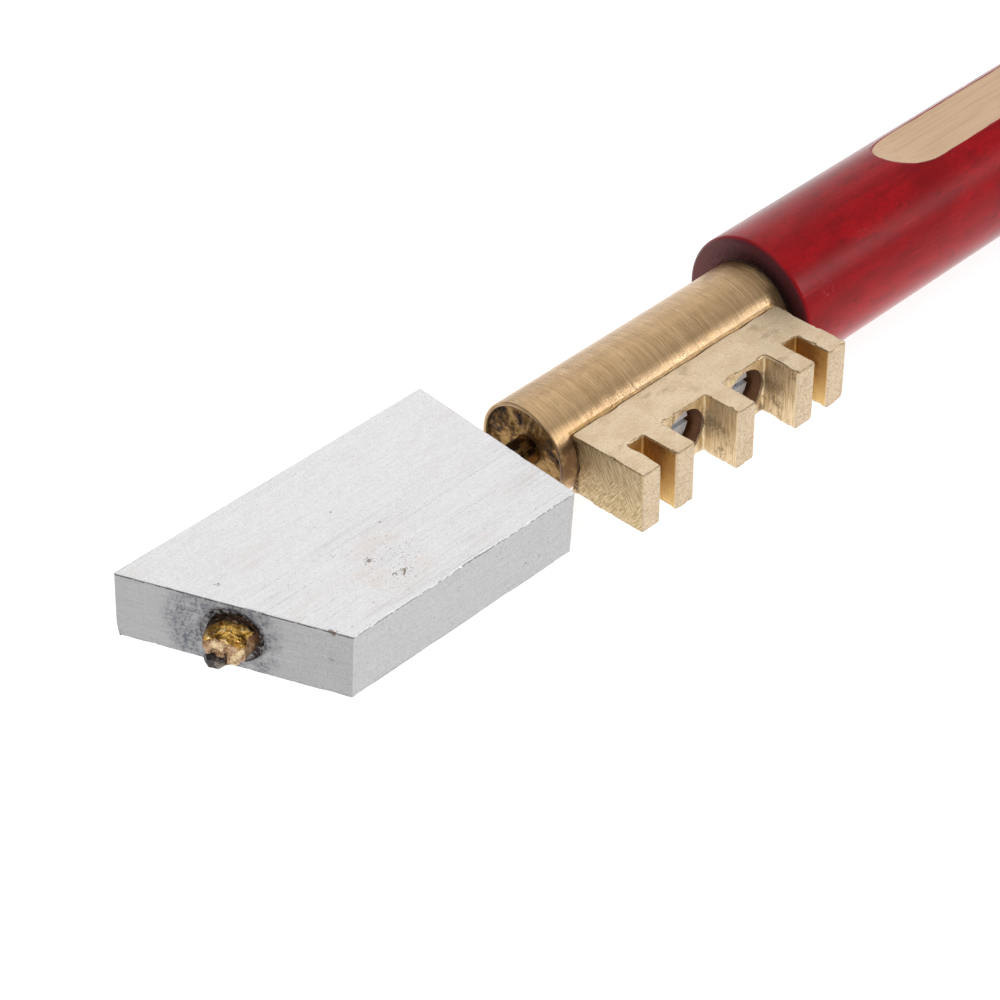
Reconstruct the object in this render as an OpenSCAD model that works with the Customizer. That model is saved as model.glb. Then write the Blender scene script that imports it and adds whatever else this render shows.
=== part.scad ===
// Diamond glass cutter with a swivelling head, a notched breaker plate and a turned wooden handle.
// The X axis is the tool's long axis: the origin is the centre of the handle's front face, the tail
// points to +X and the cutting head to -X. The breaker plate's notches open towards -Y.

/* [Handle] */
// Diameter of the straight barrel
handle_d = 10.4; // [9:0.1:14]
// Length of the handle
handle_l = 133; // [100:1:160]
// Length of the straight barrel, from the front face
barrel_l = 84; // [60:1:90]
// Diameter of the tail, where its dome begins
tail_d = 8; // [6:0.1:9]
// Length of the domed end
dome_l = 4; // [2:0.5:6]
// Distance from the front face to the planed flat
flat_start = 14; // [8:1:20]
// Length of the planed flat
flat_l = 26; // [16:1:44]
// Depth of the planed flat
flat_depth = 0.6; // [0.3:0.1:0.9]
// Radius of the run-out at each end of the flat
runout_r = 12; // [6:1:20]
// Turn of the flat about the tool's axis
flat_turn = 5; // [-10:1:10]

/* [Shank] */
// Outer diameter of the brass tube
shank_d = 7; // [5.8:0.1:8.4]
// Wall of the brass tube
tube_wall = 0.3; // [0.25:0.05:0.6]
// Length of the shank inside the handle
tang_l = 24; // [16:1:30]
// Depth of the handle's bore behind the shank
bore_spare = 1; // [0.5:0.5:3]
// Chamfer on the tube's front edge
tube_chamfer = 0.1; // [0.05:0.05:0.2]
// Length of the core behind the rear plate screw
core_spare = 13; // [4:1:20]
// Depth of the core's face below the tube's rim
core_recess = 0.45; // [0.1:0.05:0.8]

/* [Swivel] */
// Diameter of the steel spindle
spindle_d = 2; // [1.8:0.1:2.8]
// Radial running clearance of the spindle in the core
running_gap = 0.03; // [0.02:0.01:0.08]
// Length of the spindle behind the stop groove's middle
spindle_tail = 4.5; // [2:0.5:5]
// Depth of the core's bore behind the spindle
core_bore_spare = 0.8; // [0.3:0.1:1.2]
// Depth of the spindle in the head
spindle_in_head = 9; // [6:0.5:9.5]
// Swing of the head to each side of its middle position
head_swing = 12; // [5:1:25]
// Angle at which the head rests, from its middle position
head_turn = 4.5; // [-10:0.5:10]
// Gap between the head and the shank
head_gap = 2.5; // [1:0.1:3.5]
// Width of the stop groove in the spindle
groove_w = 1; // [0.8:0.1:1.4]
// Depth of the stop groove in the spindle
groove_depth = 0.4; // [0.3:0.05:0.5]

/* [Head] */
// Length of the head's longer side
head_l = 25; // [20:0.5:32]
// Width of the head
head_w = 13.4; // [11:0.1:17]
// Thickness of the head
head_t = 4.85; // [4.2:0.05:6]
// Height of the head's middle above its spindle
head_lift = 0.15; // [0:0.05:0.3]
// Slant of the nose, from square
nose_angle = 26; // [10:1:35]
// Width of the relief along the head's lower long edge
relief_w = 0.35; // [0.2:0.05:1.2]
// Height of the relief along the head's lower long edge
relief_h = 1.2; // [0.4:0.1:2]

/* [Diamond setting] */
// Diameter of the brass post
post_d = 3.5; // [2.8:0.1:3.7]
// Radial layer of solder round the post
solder_gap = 0.25; // [0.15:0.05:0.3]
// Depth of the post in the head
post_in = 6.5; // [4:0.5:8]
// Length of the post's straight part in front of the nose
post_out = 0.5; // [0.5:0.1:1.4]
// Length of the post's tapered tip
tip_l = 0.8; // [0.5:0.1:1.2]
// Radial taper of the post's tip
tip_taper = 0.55; // [0.1:0.05:0.6]
// Half of the stone's width across its corners
stone_r = 0.6; // [0.4:0.05:0.7]
// Layer of braze round the stone
braze_gap = 0.1; // [0.05:0.01:0.15]
// Distance of the stone from the post's axis, so that it stands over the tip's rim
stone_offset = 0.9; // [0.6:0.05:0.95]
// Direction of the stone from the post's axis, from the longer side downwards
stone_turn = 60; // [0:5:90]

/* [Breaker plate] */
// Thickness of the plate
plate_t = 4.45; // [3.7:0.05:5.4]
// Distance from the tube's surface to the teeth's tips
plate_w = 5.45; // [5:0.05:7]
// Distance from the shank's front edge to the plate
plate_back = 1.3; // [0.5:0.1:2]
// Gap between the plate and the handle
plate_gap = 0.85; // [0.3:0.05:3]
// Width of each tooth
tooth_w = 1.65; // [1.3:0.05:2]
// Width of the two end notches
narrow_notch = 1.45; // [1:0.05:2]
// Width of the two middle notches
wide_notch = 4.1; // [4:0.05:5]
// Depth of the notches
notch_depth = 2.85; // [2:0.05:3]
// Angle from the plate's mid-plane at which its groove touches the tube
seat_angle = 20; // [15:1:25]
// Gap between the groove and the tube where they touch
seat_gap = 0.02; // [0.01:0.01:0.05]

/* [Plate screws] */
// Diameter of the thread
screw_d = 1.6; // [1.4:0.1:1.8]
// Height of the head
screw_head_h = 0.85; // [0.6:0.05:1]
// Radial clearance round the screw's head
screw_head_gap = 0.35; // [0.1:0.05:0.4]
// Radial clearance round the screw's shank in the plate and the tube
screw_gap = 0.15; // [0.1:0.05:0.2]
// Metal left in the plate above and below the screw's counterbore
counterbore_wall = 0.4; // [0.3:0.05:0.5]
// Metal left under the screw's head, above the plate's groove
counterbore_floor = 0.45; // [0.3:0.05:0.6]
// Offset of the screws from the middle of their notches, towards the handle
screw_shift = 0.2; // [0:0.1:0.2]
// Diameter of the front screw's stop pin
dog_d = 0.7; // [0.5:0.05:0.8]
// Clearance round the stop pin and below its end
dog_gap = 0.05; // [0.03:0.01:0.1]
// Depth of the rear screw in the shank
rear_bite = 2; // [1:0.1:2.5]
// Width of the screwdriver slot
driver_slot_w = 0.4; // [0.3:0.05:0.5]
// Depth of the screwdriver slot
driver_slot_depth = 0.3; // [0.15:0.05:0.4]

/* [Hidden] */
$fn = 96;
beyond = 1;                                        // how far a cutting shape runs past a face
notches = [narrow_notch, wide_notch, wide_notch, narrow_notch];
front_screw = 1;                                   // notch that each plate screw sits in
rear_screw = 2;
plate_l = (len(notches) + 1) * tooth_w + 2 * (narrow_notch + wide_notch);
plate_front = -plate_gap - plate_l;
shank_front = plate_front - plate_back;
shank_r = shank_d / 2;
core_r = shank_r - tube_wall;
core_front = shank_front + core_recess;
groove_touch = shank_r + seat_gap;
groove_bottom = groove_touch / cos(seat_angle);    // distance of the V groove's bottom from the axis
plate_reach = shank_r + plate_w;                   // distance of the teeth's tips from the axis
notch_root = plate_reach - notch_depth;
counterbore_r = plate_t / 2 - counterbore_wall;
screw_head_r = counterbore_r - screw_head_gap;
screw_seat = groove_bottom + counterbore_floor;    // distance of the screws' seats from the axis
groove_floor = spindle_d / 2 - groove_depth;
dog_reach = groove_floor + dog_gap;                // distance of the stop pin's end from the axis
thread_spare = 0.7;
thread_end = spindle_d / 2 + thread_spare;         // distance of the front thread's end from the axis
stop_clearance = 0.6;                              // degrees left at each end of the swing
groove_half_angle = head_swing + atan(dog_d / 2 / dog_reach) + stop_clearance;
head_back = shank_front - head_gap;
nose_run = head_w * tan(nose_angle);               // how much further the longer side reaches
nose_centre = head_back - head_l + nose_run / 2;   // where the nose crosses the tool's axis
tip_face = post_out + tip_l;                       // distance of the post's tip from the nose
tip_r = post_d / 2 - tip_taper;
socket_r = stone_r + braze_gap;                    // pocket that holds the stone in its braze
socket_depth = stone_r + braze_gap;

// Distance from the plate's front end to the start of notch i.
function notch_start(i) = i == 0 ? tooth_w : notch_start(i - 1) + notches[i - 1] + tooth_w;
// Place along the tool's axis of the screw in notch i.
function screw_x(i) = plate_front + notch_start(i) + notches[i] / 2 + screw_shift;
// Radius of the handle at a share t of its taper, which leaves the barrel smoothly.
function taper_r(t) = handle_d / 2 - (handle_d - tail_d) / 2 * t * t * (3 - 2 * t);

// Turns children that stand on +Z so that they point along +X.
module along_x() rotate([0, 90, 0]) children();
// Turns children that stand on +Z so that they point along -Y.
module along_minus_y() rotate([90, 0, 0]) children();
// Places the head's pieces at the angle where the head rests.
module on_head() rotate([head_turn, 0, 0]) children();
// Places children on the head block's middle plane.
module on_block() on_head() translate([0, 0, head_lift]) children();
// Places children on the nose's centre: +Z points out of the nose, +X up, +Y to the longer side.
module on_nose() on_block() translate([nose_centre, 0, 0]) rotate([0, -90, nose_angle]) children();
// Moves children from the nose's centre to the stone's centre, in the post's tip face.
module at_stone() translate([-stone_offset * sin(stone_turn), stone_offset * cos(stone_turn),
    tip_face]) children();

// Side outline of the planed flat: level, with a round run-out at each end.
module flat_outline() {
    floor_z = handle_d / 2 - flat_depth;
    reach = sqrt(pow(runout_r, 2) - pow(runout_r - flat_depth - beyond, 2));
    edge = sqrt(pow(runout_r, 2) - pow(runout_r - flat_depth, 2));
    steps = 8;
    top_angle = asin(reach / runout_r);
    rise = [for (i = [0 : steps]) let (a = top_angle * (1 - i / steps))
        [flat_start + edge - runout_r * sin(a), floor_z + runout_r * (1 - cos(a))]];
    fall = [for (i = [0 : steps]) let (a = top_angle * i / steps)
        [flat_start + flat_l - edge + runout_r * sin(a), floor_z + runout_r * (1 - cos(a))]];
    polygon(concat(rise, fall));
}

module handle() {
    taper_steps = 14;
    dome_steps = 8;
    taper = [for (i = [0 : taper_steps]) let (t = i / taper_steps)
        [taper_r(t), barrel_l + (handle_l - dome_l - barrel_l) * t]];
    dome = [for (i = [1 : dome_steps]) let (a = 90 * i / dome_steps)
        [tail_d / 2 * cos(a), handle_l - dome_l + dome_l * sin(a)]];
    color("firebrick") difference() {
        along_x() rotate_extrude()
            polygon(concat([[0, 0], [handle_d / 2, 0]], taper, dome));
        translate([-beyond, 0, 0]) along_x() cylinder(r = shank_r, h = tang_l + bore_spare + beyond);
        rotate([-flat_turn, 0, 0]) translate([0, handle_d / 2, 0]) along_minus_y()
            linear_extrude(handle_d) flat_outline();
    }
}

// Holes for the two plate screws, drilled from the notches towards the tool's axis.
module screw_holes(r, from, to) {
    for (i = [front_screw, rear_screw])
        translate([screw_x(i), -to, 0]) along_minus_y() cylinder(r = r, h = from - to);
}

module shank_tube() {
    color("goldenrod") difference() {
        translate([shank_front, 0, 0]) along_x() rotate_extrude() polygon([
            [core_r, 0], [shank_r - tube_chamfer, 0], [shank_r, tube_chamfer],
            [shank_r, tang_l - shank_front], [core_r, tang_l - shank_front]]);
        screw_holes(screw_d / 2 + screw_gap, shank_r + beyond, core_r - beyond);
    }
}

module shank_core() {
    core_l = screw_x(rear_screw) + core_spare - core_front;
    bore_l = screw_x(front_screw) + spindle_tail + core_bore_spare - core_front;
    color("peru") difference() {
        translate([core_front, 0, 0]) along_x() cylinder(r = core_r, h = core_l);
        translate([core_front - beyond, 0, 0]) along_x()
            cylinder(r = spindle_d / 2 + running_gap, h = bore_l + beyond);
        translate([screw_x(front_screw), -thread_end, 0]) along_minus_y()
            cylinder(r = screw_d / 2, h = shank_d);
        translate([screw_x(front_screw), 0, 0]) along_minus_y()
            cylinder(r = dog_d / 2 + dog_gap, h = shank_r);
        translate([screw_x(rear_screw), rear_bite - shank_r, 0]) along_minus_y()
            cylinder(r = screw_d / 2, h = shank_d);
    }
}

// Cross-section of the plate: a bar whose inner edge is a shallow V that seats on the tube.
module plate_section() {
    half_t = plate_t / 2;
    lip = (groove_touch - half_t * sin(seat_angle)) / cos(seat_angle);
    polygon([[-plate_reach, -half_t], [-lip, -half_t], [-groove_bottom, 0],
        [-lip, half_t], [-plate_reach, half_t]]);
}

module breaker_plate() {
    color("gold") difference() {
        translate([plate_front, 0, 0]) rotate([90, 0, 90]) linear_extrude(plate_l) plate_section();
        for (i = [0 : len(notches) - 1])
            translate([plate_front + notch_start(i), -plate_reach - beyond, -plate_t])
                cube([notches[i], notch_depth + beyond, 2 * plate_t]);
        screw_holes(counterbore_r, notch_root + beyond, screw_seat);
        screw_holes(screw_d / 2 + screw_gap, notch_root, 0);
    }
}

// Slotted screw in notch i, with its thread running to the given distance from the tool's axis.
module plate_screw(i, thread_to) {
    translate([screw_x(i), 0, 0]) along_minus_y() {
        difference() {
            translate([0, 0, screw_seat]) cylinder(r = screw_head_r, h = screw_head_h);
            translate([-screw_head_r - beyond, -driver_slot_w / 2,
                    screw_seat + screw_head_h - driver_slot_depth])
                cube([2 * (screw_head_r + beyond), driver_slot_w, driver_slot_depth + beyond]);
        }
        translate([0, 0, thread_to]) cylinder(d = screw_d, h = screw_seat - thread_to);
    }
}

// The front screw also carries the pin that keeps the spindle in and stops its swing.
module front_plate_screw() {
    color("silver") {
        plate_screw(front_screw, thread_end);
        translate([screw_x(front_screw), 0, 0]) along_minus_y()
            translate([0, 0, dog_reach]) cylinder(d = dog_d, h = thread_end - dog_reach);
    }
}

module rear_plate_screw() {
    color("silver") plate_screw(rear_screw, shank_r - rear_bite);
}

// Part of a ring in the spindle, as wide as the swing needs, that the stop pin runs in.
module stop_groove() {
    outer = spindle_d;
    translate([screw_x(front_screw) - groove_w / 2, 0, 0]) intersection() {
        along_x() difference() {
            cylinder(r = outer, h = groove_w);
            translate([0, 0, -beyond]) cylinder(r = groove_floor, h = groove_w + 2 * beyond);
        }
        rotate([90, 0, 90]) linear_extrude(groove_w) polygon([[0, 0],
            [-2 * outer, -2 * outer * tan(groove_half_angle)],
            [-2 * outer, 2 * outer * tan(groove_half_angle)]]);
    }
}

module swivel_spindle() {
    spindle_front = head_back - spindle_in_head;
    color("dimgray") on_head() difference() {
        translate([spindle_front, 0, 0]) along_x()
            cylinder(d = spindle_d, h = screw_x(front_screw) + spindle_tail - spindle_front);
        stop_groove();
    }
}

module head_block() {
    half_w = head_w / 2;
    color("lightgray") difference() {
        on_block() translate([0, 0, -head_t / 2]) linear_extrude(head_t) polygon([
            [head_back, half_w], [head_back - head_l, half_w],
            [head_back - head_l + nose_run, -half_w], [head_back, -half_w]]);
        // relief along the lower edge of the longer side
        on_block() rotate([90, 0, 90]) translate([0, 0, head_back - head_l - beyond])
            linear_extrude(head_l + 2 * beyond) polygon([
                [half_w - relief_w, -head_t / 2 - beyond], [half_w - relief_w, -head_t / 2],
                [half_w, -head_t / 2 + relief_h], [half_w + beyond, -head_t / 2 + relief_h],
                [half_w + beyond, -head_t / 2 - beyond]]);
        on_head() translate([head_back - spindle_in_head, 0, 0]) along_x()
            cylinder(d = spindle_d, h = spindle_in_head + beyond);
        on_nose() translate([0, 0, -post_in])
            cylinder(r = post_d / 2 + solder_gap, h = post_in + beyond);
    }
}

module diamond_post() {
    color("darkgoldenrod") on_nose() difference() {
        union() {
            translate([0, 0, -post_in]) cylinder(d = post_d, h = post_in + post_out);
            translate([0, 0, post_out]) cylinder(r1 = post_d / 2, r2 = tip_r, h = tip_l);
        }
        at_stone() translate([0, 0, -socket_depth])
            cylinder(r = socket_r, h = socket_depth + beyond);
    }
}

// Solder that fills the hole round the post, just below the nose's face.
module post_solder() {
    solder_recess = 0.15;
    color("dimgray") on_nose() translate([0, 0, -post_in]) difference() {
        cylinder(r = post_d / 2 + solder_gap, h = post_in - solder_recess);
        translate([0, 0, -beyond]) cylinder(d = post_d, h = post_in + 2 * beyond);
    }
}

// The stone: two square pyramids, base to base.
module stone() {
    for (side = [0, 1]) mirror([0, 0, side]) cylinder(r1 = stone_r, r2 = 0, h = stone_r, $fn = 4);
}

// Braze that fills the socket round the stone's lower half.
module tip_braze() {
    color("gold") on_nose() at_stone() difference() {
        translate([0, 0, -socket_depth]) cylinder(r = socket_r, h = socket_depth);
        stone();
    }
}

module diamond() {
    color("gray") on_nose() at_stone() stone();
}

handle();
shank_tube();
shank_core();
breaker_plate();
front_plate_screw();
rear_plate_screw();
swivel_spindle();
head_block();
diamond_post();
post_solder();
tip_braze();
diamond();
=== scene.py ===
import bmesh
import bpy
import numpy as np
from mathutils import Matrix, Vector


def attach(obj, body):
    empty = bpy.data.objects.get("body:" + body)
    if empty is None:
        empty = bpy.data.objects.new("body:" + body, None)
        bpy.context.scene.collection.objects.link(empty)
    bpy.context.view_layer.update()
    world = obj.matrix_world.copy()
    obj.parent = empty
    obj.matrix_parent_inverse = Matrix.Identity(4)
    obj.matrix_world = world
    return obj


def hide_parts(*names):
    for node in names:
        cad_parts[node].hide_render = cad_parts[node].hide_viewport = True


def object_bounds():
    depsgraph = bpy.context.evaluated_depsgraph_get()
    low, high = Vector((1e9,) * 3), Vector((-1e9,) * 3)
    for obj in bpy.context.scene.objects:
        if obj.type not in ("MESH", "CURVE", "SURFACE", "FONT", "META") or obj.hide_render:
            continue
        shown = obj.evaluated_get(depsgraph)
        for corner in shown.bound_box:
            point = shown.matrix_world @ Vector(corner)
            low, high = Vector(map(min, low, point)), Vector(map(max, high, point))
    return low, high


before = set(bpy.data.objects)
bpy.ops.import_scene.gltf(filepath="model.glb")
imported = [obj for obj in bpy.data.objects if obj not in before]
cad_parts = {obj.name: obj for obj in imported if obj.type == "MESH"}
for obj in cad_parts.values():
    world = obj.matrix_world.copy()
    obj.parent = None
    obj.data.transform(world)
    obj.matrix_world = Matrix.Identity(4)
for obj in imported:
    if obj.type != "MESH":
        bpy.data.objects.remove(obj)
cad_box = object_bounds()


# The stage: the tool lies with its handle on a white floor, inside a tent of soft light. Panels
# overhead and behind give the metal broad reflections, a low one behind hazes the handle's far
# side, and a small one at the right draws the bright line along the tube.
def panel(name, place, size, power):
    """A white square area light at a place, size metres wide, that faces the tool."""
    light = bpy.data.lights.new(name, "AREA")
    light.shape = "SQUARE"
    light.size = size
    light.energy = power
    lamp = bpy.data.objects.new(name, light)
    lamp.location = place
    lamp.rotation_euler = (-Vector(place)).to_track_quat("-Z", "Y").to_euler()
    bpy.context.scene.collection.objects.link(lamp)


panel("overhead", (0.05, 0.02, 0.6), 0.7, 1.14)
panel("behind", (0.45, 0.45, 0.45), 0.5, 0.6)
panel("low_behind", (0.33, 0.48, 0.17), 0.26, 0.19)
panel("right", (0.32, -0.39, 0.27), 0.14, 0.95)

tent = bpy.data.worlds.new("tent")
tent.use_nodes = True
tent_light = tent.node_tree.nodes["Background"]
tent_light.inputs["Color"].default_value = (1.0, 1.0, 1.0, 1.0)
tent_light.inputs["Strength"].default_value = 0.33
bpy.context.scene.world = tent
bpy.context.scene.view_settings.view_transform = "Standard"

camera_data = bpy.data.cameras.new("camera")
camera_data.lens = 109.63
camera_data.sensor_width = 36.0
camera_data.shift_x = -0.0033
camera_data.shift_y = -0.0071
camera_data.clip_start = 0.01
camera = bpy.data.objects.new("camera", camera_data)
stand = Matrix.Translation((-0.129302, -0.10509, 0.115927))
heading = Matrix.Rotation(np.radians(-45.260), 4, "Z")
look_down = Matrix.Rotation(np.radians(90 - 38.349), 4, "X")
roll = Matrix.Rotation(np.radians(-0.715), 4, "Z")
camera.matrix_world = stand @ heading @ look_down @ roll
bpy.context.scene.collection.objects.link(camera)
bpy.context.scene.camera = camera

MM = 0.001


class Shade:
    """An output socket in a material; arithmetic on it adds Math nodes."""

    def __init__(self, tree, socket=None):
        self.tree = tree
        self.socket = socket

    def add(self, kind, settings=None, inputs=None, output=0):
        """Any other node: its settings are set first, then its sockets' values or links."""
        node = self.tree.nodes.new(kind)
        for name, value in (settings or {}).items():
            setattr(node, name, value)
        for key, value in (inputs or {}).items():
            if isinstance(value, Shade):
                self.tree.links.new(value.socket, node.inputs[key])
            else:
                node.inputs[key].default_value = value
        return Shade(self.tree, node.outputs[output] if node.outputs else None)

    def calc(self, operation, *values):
        """A Math node on numbers and sockets."""
        return self.add("ShaderNodeMath", {"operation": operation}, dict(enumerate(values)))

    def __add__(self, other):
        return self.calc("ADD", self, other)

    def __sub__(self, other):
        return self.calc("SUBTRACT", self, other)

    def __rsub__(self, other):
        return self.calc("SUBTRACT", other, self)

    def __mul__(self, other):
        return self.calc("MULTIPLY", self, other)

    __radd__ = __add__
    __rmul__ = __mul__

    def root(self):
        return self.calc("SQRT", self)

    def absolute(self):
        return self.calc("ABSOLUTE", self)


def begin(name):
    """A new material, and the place on the object in millimetres that its patterns read."""
    material = bpy.data.materials.new(name)
    material.use_nodes = True
    material.node_tree.nodes.clear()
    here = Shade(material.node_tree).add("ShaderNodeTexCoord", output="Object")
    place = here.add("ShaderNodeVectorMath", {"operation": "SCALE"}, {0: here, "Scale": 1 / MM})
    return material, place


def cloud(place, size, detail=4.0, coarse=0.55, shift=0.0):
    """Smooth noise about 0.5, with patches size = (x, y, z) millimetres long."""
    moved = place.add("ShaderNodeMapping", {}, {
        "Vector": place, "Location": (shift, shift, shift), "Scale": tuple(1 / s for s in size)})
    return place.add("ShaderNodeTexNoise", {}, {
        "Vector": moved, "Scale": 1.0, "Detail": detail, "Roughness": coarse})


def mix(first, second, share):
    """The first colour where share is 0, the second where it is 1."""
    colours = [c if isinstance(c, Shade) else (*c, 1.0) for c in (first, second)]
    return share.add("ShaderNodeMix", {"data_type": "RGBA"},
                     {0: share, 6: colours[0], 7: colours[1]}, output=2)


def finish(place, colour, roughness, height, depth, **constants):
    """The surface: Principled, with the height (0 to 1) pressed depth millimetres deep as bump."""
    bump = place.add("ShaderNodeBump", {}, {"Height": height, "Distance": depth * MM, "Strength": 1.0})
    inputs = {"Base Color": colour, "Roughness": roughness, "Normal": bump}
    inputs.update({name.replace("_", " "): value for name, value in constants.items()})
    surface = place.add("ShaderNodeBsdfPrincipled", {}, inputs)
    place.add("ShaderNodeOutputMaterial", {}, {"Surface": surface})


floor_z = cad_box[0].z - 0.02 * MM
floor_corners = [(-3, -3, floor_z), (3, -3, floor_z), (3, 3, floor_z), (-3, 3, floor_z)]
floor_mesh = bpy.data.meshes.new("floor")
floor_mesh.from_pydata(floor_corners, [], [(0, 1, 2, 3)])
floor = bpy.data.objects.new("floor", floor_mesh)
bpy.context.scene.collection.objects.link(floor)
floor_white, at = begin("floor_white")
paint = mix((0.5, 0.5, 0.5), (0.53, 0.53, 0.53), cloud(at, (40, 40, 40)))
finish(at, paint, 0.9, cloud(at, (2, 2, 2)), 0.01,
       Emission_Color=(1.0, 1.0, 1.0, 1.0), Emission_Strength=0.82)
floor_mesh.materials.append(floor_white)


# The handle: a turned beech rod, bored at the front for the shank and dipped in red lacquer.
# A flat is planed through the lacquer into the bare wood, with a round run-out at each end. The
# lacquer is a little milky: its thin coat and its sheen give it a soft haze.
def skin(name, rings, ends="fan"):
    """Mesh over rings of points (ring, point, xyz) in millimetres. Each ring is closed, and the ends
    are fans to their middles, flat faces, or joined to each other."""
    count, around = rings.shape[:2]
    index = np.arange(count * around).reshape(count, around)
    after = np.roll(index, -1, axis=1)
    if ends == "joined":
        index = np.vstack([index, index[:1]])
        after = np.vstack([after, after[:1]])
    faces = np.stack([index[:-1], after[:-1], after[1:], index[1:]], axis=-1).reshape(-1, 4).tolist()
    points = rings.reshape(-1, 3)
    if ends == "fan":
        points = np.vstack([points, rings[[0, -1]].mean(axis=1)])
        middle = np.full(around, count * around)
        faces += np.stack([after[0], index[0], middle], axis=-1).tolist()
        faces += np.stack([index[-1], after[-1], middle + 1], axis=-1).tolist()
    if ends == "flat":
        faces += [index[0, ::-1].tolist(), index[-1].tolist()]
    mesh = bpy.data.meshes.new(name)
    mesh.from_pydata((points * MM).tolist(), [], faces)
    work = bmesh.new()
    work.from_mesh(mesh)
    if work.calc_volume(signed=True) < 0:
        bmesh.ops.reverse_faces(work, faces=work.faces)
    work.to_mesh(mesh)
    work.free()
    return mesh


def smooth(mesh, angle):
    """Smooth shading, with creases sharper than the angle kept."""
    mesh.polygons.foreach_set("use_smooth", np.ones(len(mesh.polygons), bool))
    mesh.set_sharp_from_angle(angle=np.radians(angle))


def place_piece(mesh, material, body, slot, *replaced):
    """Puts a finished mesh on a body, in place of CAD nodes."""
    made = bpy.data.objects.new(mesh.name, mesh)
    bpy.context.scene.collection.objects.link(made)
    mesh.materials.clear()
    mesh.materials.append(material)
    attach(made, body)
    if replaced:
        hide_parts(*replaced)


handle_r, tail_r, bore_r = 5.2, 4.0, 3.5
bore_depth = 25.0
barrel_to, taper_to = 84.0, 129.0
mouth_round, front_round = 0.2, 0.4
flat_from, flat_to = 14.0, 40.0
flat_level = 4.6
flat_turn = np.radians(5)
runout_r = 12.0
runout_l = np.sqrt(runout_r**2 - (runout_r - handle_r + flat_level)**2)

# The profile goes from the bottom of the bore out over the front face and back to the tail. The
# taper falls by 3t^2 - 2t^3 of its drop, and the dome is a quarter circle.
edge = np.linspace(0, np.pi / 2, 9)
ease = np.linspace(0, 1, 40)
taper = np.linspace(0, 1, 30)
dome = np.linspace(0, np.pi / 2, 14)
barrel_x = np.concatenate([
    np.arange(1.5, 13.6, 0.75), flat_from + (runout_l + 0.5) * ease**2, np.linspace(20, 34, 12),
    flat_to - (runout_l + 0.5) * ease[::-1]**2, np.linspace(41, 83, 15)])
handle_x = np.concatenate([
    [bore_depth, 12.0, 0.3], mouth_round - mouth_round * np.sin(edge), [0.0],
    front_round - front_round * np.cos(edge), barrel_x, barrel_to + (taper_to - barrel_to) * taper,
    taper_to + tail_r * np.sin(dome[1:])])
handle_profile = np.concatenate([
    [bore_r] * 3, bore_r + mouth_round - mouth_round * np.cos(edge), [4.3],
    handle_r - front_round + front_round * np.sin(edge), np.full(len(barrel_x), handle_r),
    handle_r - (handle_r - tail_r) * taper**2 * (3 - 2 * taper), tail_r * np.cos(dome[1:]) + 0.001])

# Each ring is a circle whose height is cut off at the flat's level. In a run-out the level rises
# along an arc: level = flat + R - sqrt(R^2 - run^2), where run is how far into it the ring is.
run = np.clip(np.maximum(flat_from + runout_l - handle_x, handle_x - flat_to + runout_l), 0, runout_l)
level = flat_level + runout_r - np.sqrt(runout_r**2 - run**2)
above_all = 9.0
planed = (handle_x > flat_from) & (handle_x < flat_to) & (handle_profile > 5)
level = np.where(planed, level, above_all)
brink = np.maximum(np.arccos(np.clip(level / handle_profile, -1, 1)), 0.05)[:, None]
across = brink * np.linspace(-1, 1, 25)
round_back = brink + (2 * np.pi - 2 * brink) * np.linspace(0, 1, 137)[1:-1]
angle = np.hstack([across, round_back])
height = np.minimum(handle_profile[:, None] * np.cos(angle), level[:, None])
sideways = handle_profile[:, None] * np.sin(angle)
handle_mesh = skin("turned_handle", np.stack([
    np.broadcast_to(handle_x[:, None], angle.shape),
    height * np.sin(flat_turn) + sideways * np.cos(flat_turn),
    height * np.cos(flat_turn) - sideways * np.sin(flat_turn)], axis=-1))
smooth(handle_mesh, 25)


def split(place):
    """The x, y and z of a place."""
    return [place.add("ShaderNodeSeparateXYZ", inputs={0: place}, output=i) for i in range(3)]


def rise(value, low, high):
    """0 up to low, 1 from high, and a smooth step between."""
    return value.add("ShaderNodeMapRange", {"interpolation_type": "SMOOTHSTEP"}, {
        "Value": value, "From Min": low, "From Max": high})


def fall(value, low, high):
    """1 up to low, 0 from high, and a smooth step between."""
    return 1.0 - rise(value, low, high)


def distance(place, spot):
    """How far a place is from a spot."""
    ends = {0: place, 1: spot}
    return place.add("ShaderNodeVectorMath", {"operation": "DISTANCE"}, ends, output="Value")


lacquer, at = begin("red_lacquer_on_beech")
x, y, z = split(at)
depth_in = (y * y + z * z).root() + 0.10 * cloud(at, (1.6, 0.8, 0.8), 3.0, 0.5)
bare = fall(depth_in, 5.195, 5.21) * rise(x, 13.5, 13.6) * fall(x, 40.4, 40.5)
mottle = cloud(at, (9, 3, 3), 5.0, 0.6)
fibres = cloud(at, (7, 0.25, 0.25), 5.0, 0.6, 3.0)
flecks = rise(cloud(at, (0.8, 0.5, 0.5), 3.0, 0.6, 7.0), 0.6, 0.72)
red = mix((0.41, 0.003, 0.008), (0.24, 0.001, 0.004), rise(mottle, 0.4, 0.65) * 0.8)
red = mix(red, (0.13, 0.002, 0.006), flecks * 0.6)
stains = rise(cloud(at, (2.6, 0.9, 0.9), 5.0, 0.65, 17.0), 0.45, 0.65)
red = mix(red, (0.20, 0.002, 0.006), stains * 0.55)
red = mix(red, (0.52, 0.012, 0.020), rise(fibres, 0.55, 0.75) * 0.5)
dents = 0.0 * x
for spot in ((7.49, -3.58, 3.77), (2.64, -4.5, 2.61)):
    off_ring = distance(at, spot) + 0.4 * mottle - 0.2 - 0.5
    dents = dents.calc("MAXIMUM", dents, fall(off_ring.absolute(), 0.02, 0.10))
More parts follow.
